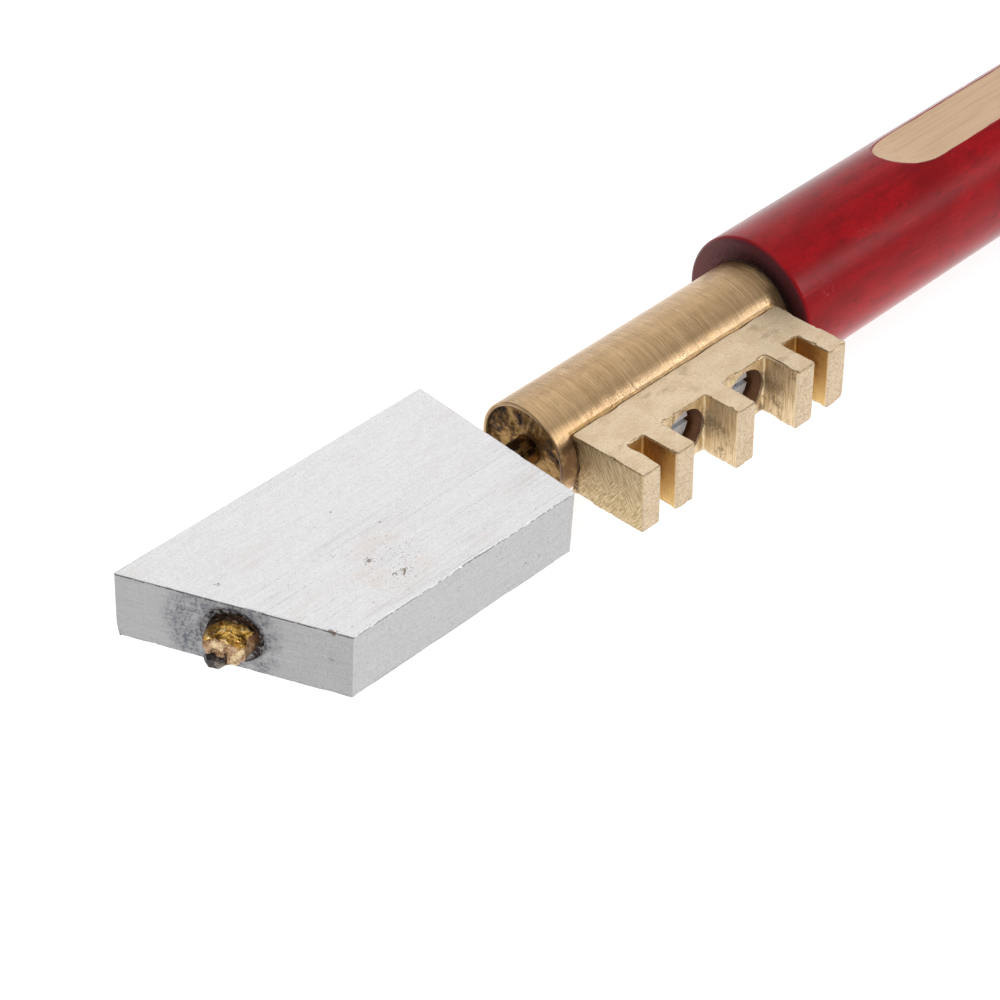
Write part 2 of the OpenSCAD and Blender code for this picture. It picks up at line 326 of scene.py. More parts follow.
dents = dents * rise(cloud(at, (0.6, 0.6, 0.6), 3.0, 0.6, 21.0), 0.42, 0.6)
red = mix(red, (0.42, 0.06, 0.07), dents * 0.5)
fine_mottle = rise(cloud(at, (0.4, 0.25, 0.25), 4.0, 0.7, 31.0), 0.44, 0.62)
red = mix(red, (0.24, 0.002, 0.006), fine_mottle * 0.4)
end_grain = fall(x, 0.02, 0.3)
pores = cloud(at, (0.4, 0.25, 0.25), 4.0, 0.65, 23.0)
# The end face's maroon is painted lighter towards +y and darker on the other side: painted light and
# shade.
maroon = mix((0.11, 0.028, 0.033), (0.20, 0.08, 0.085), rise(y + 4.0 * pores, 2.0, 5.5))
red = mix(red, maroon, end_grain)
# Near the bore the end face is painted almost black, broken up by the pores: painted shade in the mouth
# of the bore.
bore_mouth_shade = fall(depth_in, 3.9, 4.9) * end_grain * rise(pores - 0.05 * y, 0.3, 0.6)
red = mix(red, (0.008, 0.003, 0.004), bore_mouth_shade * 0.9)
rays = rise(cloud(at, (0.7, 0.09, 0.09), 3.0, 0.6, 11.0), 0.60, 0.72)
wood = mix((0.84, 0.58, 0.38), (0.75, 0.51, 0.33), rise(fibres, 0.4, 0.65))
wood = mix(wood, (0.66, 0.40, 0.23), rays * 0.5)
lacquer_roughness = 0.30 + 0.14 * mottle + 0.08 * flecks
wood_roughness = 0.62
relief = fibres * (0.12 + 0.88 * bare) + flecks * 0.1 - 0.4 * dents
finish(at, mix(red, wood, bare), lacquer_roughness * (1.0 - bare) + wood_roughness * bare, relief, 0.05,
       Coat_Weight=(1.0 - bare) * (1.0 - 0.6 * end_grain), Coat_Roughness=0.36, Coat_IOR=1.2,
       Specular_IOR_Level=0.02, Sheen_Weight=0.85, Sheen_Roughness=0.26)
place_piece(handle_mesh, lacquer, "grip", "lacquered_wood", "handle")


# The shank: a thin drawn brass tube, faced square and polished round on the lathe, with a thin
# film of oil. It is pushed and glued into the handle's bore, and has two holes for the plate screws.
def turned(name, profile, origin, along, up, around=160, ends="fan"):
    """Surface of revolution: origin + along * s + r * (up * cos a + side * sin a), for each (s, r)."""
    profile = np.array(profile, float)
    along, up, origin = (np.array(v, float) for v in (along, up, origin))
    side = np.cross(along, up)
    a = np.linspace(0, 2 * np.pi, around, endpoint=False)
    spoke = up * np.cos(a)[:, None] + side * np.sin(a)[:, None]
    s, r = profile[:, 0, None, None], profile[:, 1, None, None]
    return skin(name, origin + along * s + r * spoke, ends)


def drilled(mesh, cutters):
    """The mesh with the cutters' shapes taken away from it."""
    solid = bpy.data.objects.new("solid", mesh)
    bpy.context.scene.collection.objects.link(solid)
    tools = []
    for cutter in cutters:
        tool = bpy.data.objects.new("tool", cutter)
        bpy.context.scene.collection.objects.link(tool)
        tools.append(tool)
        cut = solid.modifiers.new("cut", "BOOLEAN")
        cut.operation = "DIFFERENCE"
        cut.solver = "EXACT"
        cut.object = tool
    bpy.context.view_layer.update()
    result = bpy.data.meshes.new_from_object(solid.evaluated_get(bpy.context.evaluated_depsgraph_get()))
    name = mesh.name
    for spare in [solid] + tools:
        old = spare.data
        bpy.data.objects.remove(spare)
        bpy.data.meshes.remove(old)
    result.name = name
    return result


X, Z = (1, 0, 0), (0, 0, 1)
to_the_teeth = (0, -1, 0)
screws_x = (-13.2, -7.45)
screw_r = 0.95
tube_r, core_r = 3.5, 3.2
tube_profile = [
    (24, core_r), (24, tube_r), (12, tube_r), (0, tube_r), (-10, tube_r), (-21.40, tube_r),
    (-21.45, 3.485), (-21.485, 3.45), (-21.5, 3.4), (-21.5, 3.28), (-21.48, 3.235), (-21.43, 3.205),
    (-21.38, core_r), (-10, core_r), (12, core_r)]
tube_mesh = turned("brass_tube", tube_profile, (0, 0, 0), X, Z, 200, "joined")
tube_mesh = drilled(tube_mesh, [
    turned("cutter", [(2, screw_r), (5, screw_r)], (s, 0, 0), to_the_teeth, X, 64) for s in screws_x])
smooth(tube_mesh, 30)

shank_brass, at = begin("lathe_turned_brass")
x, y, z = split(at)
rings = cloud(at, (0.06, 3.0, 3.0), 3.0, 0.65)
broad_rings = cloud(at, (0.8, 12, 12), 3.0, 0.6, 5.0)
soil = cloud(at, (3.0, 2.0, 2.0), 5.0, 0.65, 9.0)
tone = mix((0.54, 0.34, 0.16), (0.78, 0.53, 0.29), rise(rings, 0.35, 0.65))
tone = mix(tone, (0.50, 0.31, 0.15), rise(broad_rings, 0.45, 0.7) * 0.35)
tone = mix(tone, (0.42, 0.27, 0.14), rise(soil, 0.58, 0.8) * 0.45)
# The tube's inner wall at the front is painted dark brown: painted shade in the recess over the core.
inside = fall((y * y + z * z).root(), 3.22, 3.3) * fall(x, 0.0, 1.0)
tone = mix(tone, (0.10, 0.055, 0.025), inside * 0.85)
# A dark gold band on the tube along the plate's top edge: painted shade of the gap between tube and
# plate.
joint_gap_shade = rise(z, 2.05, 2.15) * fall(z, 2.23, 2.28) * fall(y, -2.2, -2.0) * rise(x, -20.3, -20.2)
tone = mix(tone, (0.36, 0.21, 0.07), joint_gap_shade * fall(x, -0.9, -0.8))
# Below the plate's groove near the front, the tube is painted dark brown in patches: painted shade and
# painted dark reflection of the gap under the plate.
tube_gap_shade = fall(y, -3.0, -2.5) * fall(z, 1.6, 2.1) * rise(z, -1.5, 0.0) * fall(x, -20.3, -19.9)
tone = mix(tone, (0.16, 0.08, 0.04), tube_gap_shade * rise(soil, 0.3, 0.5) * 0.85)
finish(at, tone, 0.24 + 0.09 * soil + 0.05 * rings, rings + 0.4 * broad_rings, 0.05,
       Metallic=1.0, Coat_Weight=0.35, Coat_Roughness=0.28, Coat_IOR=1.5)
place_piece(tube_mesh, shank_brass, "grip", "shank_brass", "shank_tube")


# The core: a soft brass rod that fills the tube and carries the spindle. Its recessed end is
# crusted with burnt flux and solder round the spindle's hole.
def lumps(points, size, seed):
    """Smooth lumps of about size millimetres, from -1 to 1: many plane waves in random directions."""
    chance = np.random.default_rng(seed)
    waves = chance.normal(size=(24, 3))
    waves /= np.linalg.norm(waves, axis=1)[:, None]
    waves *= chance.uniform(0.6, 1.6, 24)[:, None] * np.pi / size
    phase = points @ waves.T + chance.uniform(0, 2 * np.pi, 24)
    return np.clip(np.sin(phase).sum(axis=-1) / 7, -1, 1)


# The crust is a washer on the core's end. Its front is raised by lumps, and thins out over the
# last 0.6 mm towards the spindle's hole.
core_x = -21.05
hole_r = 1.04
radii = np.linspace(hole_r, 3.19, 34)[:, None]
a = np.linspace(0, 2 * np.pi, 200, endpoint=False)
front = np.stack([np.full((34, 200), core_x), radii * np.cos(a), radii * np.sin(a)], axis=-1)
crust = 0.14 + 0.13 * lumps(front, 0.9, 4) + 0.04 * lumps(front, 0.35, 5)
back = front[[-1, 0]]
front[..., 0] -= np.clip(crust, 0.01, 0.36) * np.clip((radii - hole_r) / 0.6, 0, 1)
crust_mesh = skin("core_crust", np.vstack([front, back]), "joined")
smooth(crust_mesh, 40)


def dirty_brass(name, shift):
    """Old brass under patches of brown and black flux."""
    material, at = begin(name)
    patches = cloud(at, (1.1, 0.9, 0.9), 5.0, 0.6, shift)
    fine = cloud(at, (0.25, 0.25, 0.25), 4.0, 0.6, shift + 4)
    tone = mix((0.50, 0.30, 0.11), (0.24, 0.13, 0.05), rise(patches, 0.42, 0.56))
    tone = mix(tone, (0.035, 0.02, 0.012), rise(patches, 0.55, 0.64))
    tone = mix(tone, (0.66, 0.45, 0.21), rise(fine, 0.55, 0.7) * fall(patches, 0.45, 0.55) * 0.8)
    finish(at, tone, 0.42 + 0.3 * rise(patches, 0.45, 0.6), patches + 0.5 * fine, 0.12,
           Metallic=1.0 - 0.7 * rise(patches, 0.5, 0.6))
    return material


def give_finish(material, *names):
    """Gives a material to the CAD nodes that keep their own shape."""
    for name in names:
        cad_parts[name].data.materials.clear()
        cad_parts[name].data.materials.append(material)


place_piece(crust_mesh, dirty_brass("burnt_core_end", 0.0), "grip", "core_brass")
give_finish(dirty_brass("core_rod", 2.0), "shank_core")


# The breaker plate: a sawn and filed brass bar with two narrow and two wide notches for snapping
# strips of glass. Its grooved back sits on the tube, held by two screws sunk in the wide notches.
def rounded(corners, radius, steps, turns=6):
    """Outline with rounded corners, counter-clockwise: an arc of the radius at each corner, then an
    evenly spaced straight part. Returns the points and their outward normals."""
    corners = np.array(corners, float)
    out = np.roll(corners, -1, axis=0) - corners
    out /= np.linalg.norm(out, axis=1)[:, None]
    into = np.roll(out, 1, axis=0)
    turn = np.arctan2(into[:, 0] * out[:, 1] - into[:, 1] * out[:, 0], (into * out).sum(axis=1))
    cut = (radius * np.tan(np.abs(turn) / 2))[:, None]
    start, end = corners - into * cut, corners + out * cut
    normal_in = np.stack([into[:, 1], -into[:, 0]], axis=1)
    middle = start - normal_in * radius * np.sign(turn)[:, None]
    share = np.linspace(0, 1, turns)
    swing = np.arctan2(normal_in[:, 1], normal_in[:, 0])[:, None] + turn[:, None] * share
    arc_n = np.stack([np.cos(swing), np.sin(swing)], axis=-1)
    arc = middle[:, None] + arc_n * radius * np.sign(turn)[:, None, None]
    along = np.linspace(0, 1, steps + 2)[1:-1, None]
    line = end[:, None] + (np.roll(start, -1, axis=0) - end)[:, None] * along
    line_n = np.repeat(arc_n[:, -1:], steps, axis=1)
    return (np.concatenate([arc, line], axis=1).reshape(-1, 2),
            np.concatenate([arc_n, line_n], axis=1).reshape(-1, 2))


def slab(corners, corner_r, half_t, edge_r, wear, seed, steps, levels=9):
    """Rings of a flat bar: the rounded outline, drawn in by the rounding of the top and bottom edges,
    and worn back there by lumps up to wear millimetres deep."""
    outline, normal = rounded(corners, corner_r, steps)
    arc = np.linspace(0, np.pi / 2, 5)
    low_z = -half_t + edge_r * (1 - np.sin(arc))
    edge_in = edge_r * (1 - np.cos(arc))
    inset = np.concatenate([edge_in[::-1], np.zeros(levels), edge_in])
    side_z = np.linspace(-half_t + edge_r, half_t - edge_r, levels + 2)[1:-1]
    z = np.concatenate([low_z[::-1], side_z, -low_z])
    flat = outline - normal * inset[:, None, None]
    rings = np.concatenate([flat, np.broadcast_to(z[:, None, None], (*flat.shape[:2], 1))], axis=-1)
    worn = np.clip(lumps(rings, 1.3, seed), 0, 1)**2 + 0.5 * np.clip(lumps(rings, 0.3, seed + 1), 0, 1)**3
    near_edge = np.clip(1 - (half_t - np.abs(z)) / (2.5 * edge_r), 0, 1)[:, None]
    drop = np.minimum(wear * worn * near_edge, 0.95 * corner_r - inset[:, None])
    rings[..., :2] -= normal * drop[..., None]
    rings[1:-1, :, 2] -= (np.sign(z)[:, None] * drop)[1:-1]
    return rings


plate_front, plate_rear = -20.2, -0.85
plate_in, plate_root, plate_tip = -2.936, -6.1, -8.95
plate_half_t = 2.225
groove_y, groove_slope = -3.746, np.tan(np.radians(20))
notches = [(-18.55, -17.1), (-15.45, -11.35), (-9.7, -5.6), (-3.95, -2.5)]
head_hole_r, hole_floor = 1.825, 4.195
plate_corners = [(plate_rear, plate_in), (plate_front, plate_in), (plate_front, plate_tip)]
for near, far in notches:
    plate_corners += [(near, plate_tip), (near, plate_root), (far, plate_root), (far, plate_tip)]
plate_corners += [(plate_rear, plate_tip)]
plate_rings = slab(plate_corners, corner_r=0.17, half_t=plate_half_t, edge_r=0.09, wear=0.12, seed=21,
                   steps=50)
# The back is drawn in to a V-shaped groove: y = groove_y + slope * |z|.
groove = groove_y + groove_slope * np.abs(plate_rings[..., 2])
inner = plate_rings[..., 1] > -4.2
plate_rings[..., 1] = np.where(inner, np.minimum(plate_rings[..., 1], groove), plate_rings[..., 1])
sunk_hole = [(8, head_hole_r), (hole_floor + 0.001, head_hole_r), (hole_floor, screw_r), (1, screw_r)]
plate_mesh = drilled(skin("breaker_plate_bar", plate_rings, "flat"), [
    turned("cutter", sunk_hole, (s, 0, 0), to_the_teeth, X, 128) for s in screws_x])


def seen_from(place, matrix):
    """The place in the axes of a matrix whose lengths are millimetres."""
    return place.add("ShaderNodeMapping", {"vector_type": "TEXTURE"}, {
        "Vector": place, "Location": matrix.to_translation(), "Rotation": matrix.to_euler()})


plate_brass, at = begin("filed_brass")
x, y, z = split(at)
level_z = z.absolute()
in_notch = fall(level_z, 2.0, 2.14) * rise(y, -8.86, -8.7) * fall(y, -5.9, -5.7)
in_notch = in_notch * rise(x, -20.1, -20.0) * fall(x, -1.05, -0.95)
bore = rise(y, -6.0, -5.9) * fall(y, -4.3, -4.1) * fall(level_z, 2.0, 2.14) * rise(x, -20.1, -20.0)
front_face = fall(x, -20.16, -20.1)
top = rise(level_z, 2.14, 2.2)
patches = cloud(at, (1.6, 1.2, 1.2), 5.0, 0.62)
fine = cloud(at, (0.15, 0.15, 0.15), 5.0, 0.75, 2.0)
slanted = seen_from(at, Matrix.Rotation(np.radians(-28), 4, "X"))
crossed = seen_from(at, Matrix.Rotation(np.radians(35), 4, "X"))
turned_over = rise(patches + 0.06 * z, 0.42, 0.52)
file_marks = (turned_over * cloud(slanted, (2.0, 0.11, 1.1), 4.0, 0.7)
              + (1.0 - turned_over) * cloud(crossed, (2.0, 0.10, 0.7), 4.0, 0.7))
draw_marks = cloud(at, (4.0, 0.10, 0.10), 3.0, 0.6, 6.0)
saw_marks = cloud(at, (0.3, 0.11, 1.5), 3.0, 0.65, 8.0)
pale = mix((0.87, 0.71, 0.51), (0.80, 0.63, 0.42), rise(patches, 0.4, 0.65))
pale = mix(pale, (0.96, 0.84, 0.66), rise(fine, 0.54, 0.68) * 0.7)
pale = mix(pale, (0.55, 0.41, 0.25), fall(fine, 0.36, 0.46) * 0.6)
scuffs = rise(cloud(at, (0.4, 0.14, 0.14), 4.0, 0.7, 19.0), 0.54, 0.68)
pale = mix(pale, (0.68, 0.52, 0.33), scuffs * 0.5)
pale = mix(pale, (0.70, 0.55, 0.32), front_face * 0.85)
pale = mix(pale, (0.40, 0.27, 0.12), rise(file_marks, 0.48, 0.57) * front_face * 0.75)
pale = mix(pale, (0.95, 0.80, 0.54), fall(file_marks, 0.38, 0.45) * front_face * 0.6)
# The teeth's outer end faces are painted darker than the top: painted shade on faces turned away from the
# light.
tooth_end_shade = mix((0.44, 0.34, 0.23), (0.68, 0.55, 0.39), rise(fine, 0.36, 0.6))
pale = mix(pale, tooth_end_shade, fall(y, -8.9, -8.82) * 0.8)
# The walls of the narrow notches are painted orange, streaked by the saw marks: painted reflection
# between the close brass walls.
orange_reflection = mix((0.64, 0.37, 0.09), (0.42, 0.22, 0.05), rise(saw_marks, 0.4, 0.65))
yellow = mix((0.88, 0.73, 0.50), (0.60, 0.45, 0.25), rise(saw_marks, 0.42, 0.62))
narrow = 1.0 - rise(x, -16.4, -16.2) * fall(x, -4.8, -4.6)
wall = mix(yellow, orange_reflection, narrow)
wall = mix(wall, (0.42, 0.25, 0.09), rise(z - 0.7 * y + 2.0 * patches, 6.0, 7.6) * (0.15 + 0.6 * narrow))
spray = fall((z - 0.3).absolute() + 5.0 * fine, 2.2, 3.4) * rise(y + 2.5 * patches, -7.2, -6.0)
wall = mix(wall, (0.26, 0.16, 0.09), spray * (1.0 - narrow) * 0.75)
# Towards the open end the narrow notches' walls are painted yellow: painted light reaching into the slot.
wall = mix(wall, (0.86, 0.62, 0.25), fall(y + 0.9 * patches + 0.5 * fine, -7.8, -6.6) * narrow * 0.75)
wall = mix(wall, (0.14, 0.08, 0.04), rise(0.6 * patches + 0.4 * fine, 0.54, 0.62) * 0.75)
wall = mix(wall, (0.95, 0.82, 0.60), rise(fine, 0.58, 0.72) * fall(z, -0.6, 0.4) * 0.6)
tone = mix(pale, wall, in_notch * 0.9)
# The counterbores' walls are painted dark red-brown: painted shade in the holes.
tone = mix(tone, (0.30, 0.13, 0.06), bore * 0.85)
smudge = rise(cloud(at, (2.2, 1.5, 1.5), 4.0, 0.6, 13.0), 0.6, 0.72)
tone = mix(tone, (0.33, 0.22, 0.12), smudge * 0.35)
marks = file_marks * front_face + draw_marks * top + saw_marks * in_notch
worn = rise(level_z, 2.09, 2.14) * fall(level_z, 2.20, 2.222) * rise(fine, 0.42, 0.56)
tone = mix(tone, (0.34, 0.22, 0.11), worn * 0.85)
# Along the groove at the plate's front the brass is painted nearly black in patches: painted shade of the
# gap round the tube.
plate_gap_shade = rise(y, -3.75, -3.45) * fall(x, -20.1, -19.9) * fall(level_z, 1.7, 2.1)
tone = mix(tone, (0.10, 0.05, 0.03), plate_gap_shade * rise(fine, 0.35, 0.5) * 0.9)
finish(at, tone, 0.42 + 0.16 * patches, marks + 0.5 * fine + 0.3 * patches, 0.035, Metallic=1.0)
place_piece(plate_mesh, plate_brass, "grip", "plate_brass", "breaker_plate")


# The plate screws: two small slotted steel screws, bright from the screwdriver, with soil round
# their heads. The front one's thin end also stops the head's swing.
screw_steel, at = begin("screw_steel")
soil = cloud(at, (0.5, 0.5, 0.5), 5.0, 0.6)
fine = cloud(at, (0.08, 0.5, 0.08), 3.0, 0.6, 3.0)
tone = mix((0.88, 0.92, 0.98), (0.66, 0.70, 0.76), rise(fine, 0.4, 0.7))
tone = mix(tone, (0.20, 0.15, 0.12), rise(soil, 0.6, 0.72) * 0.8)
finish(at, tone, 0.34 + 0.2 * soil, fine + soil, 0.02, Metallic=0.35)
give_finish(screw_steel, "front_plate_screw", "rear_plate_screw")


# The spindle: a ground steel pin, pressed into the head block and free to turn in the core.
# It is dark with oil, and the stop groove is cut in its side.
spindle_steel, at = begin("oiled_steel")
oil = cloud(at, (1.2, 0.7, 0.7), 4.0, 0.6)
ground = cloud(at, (0.07, 2.0, 2.0), 3.0, 0.6, 4.0)
tone = mix((0.34, 0.21, 0.09), (0.05, 0.03, 0.02), rise(oil, 0.42, 0.55))
tone = mix(tone, (0.42, 0.30, 0.17), rise(ground, 0.6, 0.75) * 0.5)
finish(at, tone, 0.26 + 0.25 * oil, ground, 0.01, Metallic=1.0)
give_finish(spindle_steel, "swivel_spindle")


# The head block: sawn from flat aluminium bar and brushed along its length, with a slanted nose.
# It rests a little rolled on its spindle, and its sides and nose are painted darker than its top: painted
# shade.
head_roll, nose_slant = np.radians(4.5), np.radians(26)
head_lift = 0.15
nose_x = -45.732
head_turn = Matrix.Rotation(head_roll, 4, "X") @ Matrix.Translation((0, 0, head_lift))
nose_turn = Matrix.Rotation(nose_slant, 4, "Z") @ Matrix.Rotation(np.radians(-90), 4, "Y")
# Seen from the nose, x is up, y is to the tool's left and z is out of the nose.
outward = Matrix.Translation((nose_x, 0, 0)) @ nose_turn
nose = head_turn @ outward


def carried(mesh, matrix):
    """The mesh, made in its own axes, carried to its place by a matrix in millimetres."""
    mesh.transform(Matrix.Scale(MM, 4) @ matrix @ Matrix.Scale(1 / MM, 4))
    return mesh


block_half_w, block_half_t = 6.7, 2.425
block_rear, long_side_front, short_side_front = -24, -49, -42.464
relief_w, relief_h = 0.35, 1.2
spindle_hole_r = 1.01
post_depth, post_hole_r = 6.5, 2.0
block_corners = [(block_rear, block_half_w), (long_side_front, block_half_w),
                 (short_side_front, -block_half_w), (block_rear, -block_half_w)]
block_rings = slab(block_corners, corner_r=0.14, half_t=block_half_t, edge_r=0.07, wear=0.035, seed=31,
                   steps=150, levels=11)
# A sloped relief along the lower long edge: y <= half width - relief_w * (1 - height / relief_h).
over_edge = np.clip(1 - (block_rings[..., 2] + block_half_t) / relief_h, 0, 1)
block_rings[..., 1] = np.minimum(block_rings[..., 1], block_half_w - relief_w * over_edge)
spindle_hole = turned("cutter", [(-33, spindle_hole_r), (-20, spindle_hole_r)], (0, 0, 0), X, Z, 96)
post_hole = turned("cutter", [(-post_depth, post_hole_r), (2, post_hole_r)], (0, 0, 0), Z, X, 128)
block_mesh = skin("aluminium_block", block_rings, "flat")
block_mesh = drilled(block_mesh, [spindle_hole, carried(post_hole, outward)])
carried(block_mesh, head_turn)


def ruffled(place, noise_place, scale):
    """The place moved up to half a millimetre each way by noise, which makes round spots ragged."""
    noise = place.add("ShaderNodeTexNoise", {}, {"Vector": noise_place, "Scale": scale}, output=1)
    moved = place.add("ShaderNodeVectorMath", {"operation": "ADD"}, {0: place, 1: noise})
    return place.add("ShaderNodeVectorMath", {"operation": "SUBTRACT"}, {0: moved, 1: (0.5, 0.5, 0.5)})


aluminium, at = begin("brushed_aluminium")
block = seen_from(at, head_turn)
x, y, z = split(block)
up, left, out = split(seen_from(at, nose))
top = rise(z, 2.3, 2.41)
front_face = rise(out, -0.09, -0.02)
side_face = (1.0 - top) * (1.0 - front_face)
brushed = cloud(block, (3.0, 0.06, 0.06), 4.0, 0.7)
speckle = cloud(block, (0.14, 0.08, 0.08), 2.0, 0.6, 6.0)
patches = cloud(block, (5.0, 2.2, 2.2), 5.0, 0.6, 5.0)
scratch = rise(cloud(block, (14.0, 0.05, 0.5), 1.0, 0.5, 9.0), 0.66, 0.74) * rise(speckle, 0.35, 0.5)
scratch = scratch * (0.3 + 0.7 * fall(y, -1.5, 1.0))
spotted = fall((x + 36.5) * (x + 36.5) + (y + 3.6) * (y + 3.6), 1.0, 9.0)
grit = rise(cloud(block, (0.16, 0.10, 0.10), 2.0, 0.5, 2.0) + 0.07 * spotted, 0.69, 0.75)
ragged = cloud(block, (0.25, 0.25, 0.25), 2.0, 0.6, 4.0)
top_z = block_half_t - 0.005
pit_places = [
    ((-37.3, -2.6, top_z), 0.22), ((-36.5, -4.6, top_z), 0.26), ((-37.0, -4.5, top_z), 0.20),
    ((-36.0, 1.9, top_z), 0.11), ((-34.6, -0.6, top_z), 0.14), ((-38.7, -0.9, top_z), 0.13),
    ((-37.9, -1.4, top_z), 0.10), ((-29.3, 0.4, top_z), 0.12), ((-26.1, 3.4, top_z), 0.13),
    ((-45.2, 1.8, top_z), 0.12), ((-43.0, -5.65, 2.38), 0.24), ((-43.1, -5.4, 2.38), 0.2),
    ((-34.0, -block_half_w, 0.6), 0.12), ((-28.0, -block_half_w, -0.8), 0.12),
    ((-39.5, -block_half_w, 1.2), 0.10), ((-43.08, -5.45, 0.3), 0.12)]
pits = 0.0 * x
ragged_place = ruffled(block, block, 5.0)
for spot, size in pit_places:
    pits = pits.calc("MAXIMUM", pits, fall(distance(ragged_place, spot), 0.45 * size, 1.1 * size))
tone = mix((0.89, 0.885, 0.895), (0.78, 0.77, 0.78), rise(0.4 * brushed + 0.6 * speckle, 0.38, 0.62))
tone = mix(tone, (0.78, 0.72, 0.68), rise(patches, 0.52, 0.72) * 0.5)
sawn = cloud(block, (2.2, 2.2, 0.07), 4.0, 0.7, 14.0)
grained = 0.5 * sawn + 0.5 * speckle
# The sides and the nose are painted a darker grey than the top: painted shade, over their sawn grain.
side_shade_grey = mix((0.53, 0.53, 0.535), (0.42, 0.42, 0.43), rise(grained, 0.4, 0.6))
tone = mix(tone, side_shade_grey, side_face * 0.85)
tone = mix(tone, (0.30, 0.30, 0.31), side_face * rise(ragged, 0.60, 0.70) * 0.45)
nose_shade_grey = mix((0.48, 0.48, 0.485), (0.38, 0.38, 0.385), rise(grained, 0.4, 0.6))
tone = mix(tone, nose_shade_grey, front_face * 0.88)
tone = mix(tone, (0.42, 0.38, 0.35), scratch * 0.5)
tone = mix(tone, mix((0.30, 0.26, 0.24), (0.42, 0.24, 0.15), spotted), grit * 0.65)
tone = mix(tone, (0.80, 0.70, 0.62), spotted * rise(patches, 0.40, 0.6) * top * 0.5)
tone = mix(tone, (0.22, 0.14, 0.10), pits * 0.8)
radius = (up * up + left * left).root()
crackle = cloud(at, (0.22, 0.22, 0.22), 4.0, 0.7, 1.0)
aside = (up * up + (left - 0.6) * (left - 0.6)).root()
stain = fall(aside, 2.8, 4.3) * front_face * rise(cloud(at, (1.2, 1.2, 1.2), 3.0, 0.6, 3.0), 0.3, 0.55)
tone = mix(tone, (0.17, 0.19, 0.24), stain * rise(crackle, 0.46, 0.60) * 0.75)
burnt = fall(radius + 0.5 * crackle, 2.2, 2.55) * front_face * rise(up - 0.9 * left, -0.6, 1.2)
burnt = burnt * (0.45 + 0.55 * rise(ragged, 0.4, 0.55))
tone = mix(tone, (0.045, 0.03, 0.028), burnt)
edge_z = z.absolute()
rim = rise(edge_z, 2.33, 2.35) * fall(edge_z, 2.38, 2.42) * rise(ragged, 0.38, 0.52)
tone = mix(tone, (0.14, 0.13, 0.13), rim * 0.85)
relief = 0.4 * brushed + 0.4 * speckle - scratch * 0.6 - pits - grit * 0.4 + stain * crackle
finish(at, tone, 0.42 + 0.12 * brushed + 0.1 * front_face + 0.2 * stain, relief, 0.02, Metallic=1.0)
place_piece(block_mesh, aluminium, "head", "aluminium", "head_block")


# The solder round the post: it fills the drilled hole to just below the nose, and is burnt black
# on the side where the torch played.
def round_rings(radii, heights, around):
    """Rings round the Z axis, one for each radius r and height h: (r cos a, r sin a, h)."""
    a = np.linspace(0, 2 * np.pi, around, endpoint=False)
    radii = np.asarray(radii)[:, None]
    heights = np.broadcast_to(np.asarray(heights)[:, None], (len(radii), around))
    return np.stack([radii * np.cos(a), radii * np.sin(a), heights], axis=-1)


# A tube round the post. Its outer end is lowered by lumps and raised towards +y, the unburnt side.
solder_rings = round_rings([1.4, 1.6, 1.8, 2.0, 2.0, 1.4], [-0.12, -0.1, -0.1, -0.06, -6.4, -6.4], 160)
solder_rings[:4, :, 2] -= 0.06 + 0.06 * lumps(solder_rings[:4], 0.7, 51)
solder_rings[:4, :, 2] += 0.07 * np.clip(solder_rings[:4, :, 1], 0, 1)
solder_mesh = carried(skin("post_solder_ring", solder_rings, "joined"), nose)
smooth(solder_mesh, 50)

burnt_solder, at = begin("burnt_solder")
up, left, out = split(seen_from(at, nose))
grains = cloud(at, (0.3, 0.3, 0.3), 4.0, 0.6)
burnt = rise(up - 0.9 * left + grains, -0.6, 0.8)
tone = mix((0.46, 0.46, 0.47), (0.24, 0.23, 0.23), rise(grains, 0.4, 0.6))
tone = mix(tone, (0.03, 0.02, 0.017), burnt * (0.35 + 0.65 * rise(grains, 0.42, 0.52)))
finish(at, tone, 0.5 + 0.2 * grains, grains, 0.08, Metallic=0.6)
place_piece(solder_mesh, burnt_solder, "head", "burnt_solder", "post_solder")


# The post: a short brass rod let into the nose, peened over at its tip into two lobes that grip
# the stone, with a crack between them.
root_r, neck_r, shoulder_r, face_r = 1.75, 1.56, 1.46, 1.04
shoulder_z, face_z = 0.6, 1.3
bend = np.linspace(0, np.pi / 2, 14)[1:]
shoulder_z_arc = shoulder_z + (face_z - shoulder_z) * np.sin(bend)
shoulder_r_arc = shoulder_r - (shoulder_r - face_r) * (1 - np.cos(bend))


def leaning(rings, heights):
    """Rings pushed 0.14 mm down and 0.12 mm left by the lean, which grows over the first 0.5 mm."""
    lean = np.clip(heights / 0.5, 0, 1)[:, None]
    return rings + lean[..., None] * np.array([-0.14, 0.12, 0.0])


# A rod with a quarter-ellipse shoulder and a flat face. Lumps swell the tip, its crack is a
# valley exp(-(d / 0.08)^2) deep at a distance d from y = -0.1 - 0.06 sin 6x, and its upper half
# is drawn in by 0.22 of its height.
post_z = np.concatenate([[-post_depth, -3.0, -0.3], np.linspace(-0.1, shoulder_z, 10), shoulder_z_arc,
                         np.full(14, face_z)])
post_r = np.concatenate([[root_r] * 3, np.linspace(neck_r, shoulder_r, 10), shoulder_r_arc,
                         np.linspace(face_r, 0.04, 15)[1:]])
post_rings = round_rings(post_r, post_z, 180)
tip = np.clip((post_z - 0.2) / 0.6, 0, 1)[:, None]
swell = 0.08 * lumps(post_rings, 0.7, 61) + 0.05 * lumps(post_rings, 0.3, 62)
crack_path = post_rings[..., 1] + 0.10 + 0.06 * np.sin(6 * post_rings[..., 0])
crack = np.exp(-(crack_path / 0.08)**2) * np.clip((-0.1 - post_rings[..., 0]) / 0.2, 0, 1)
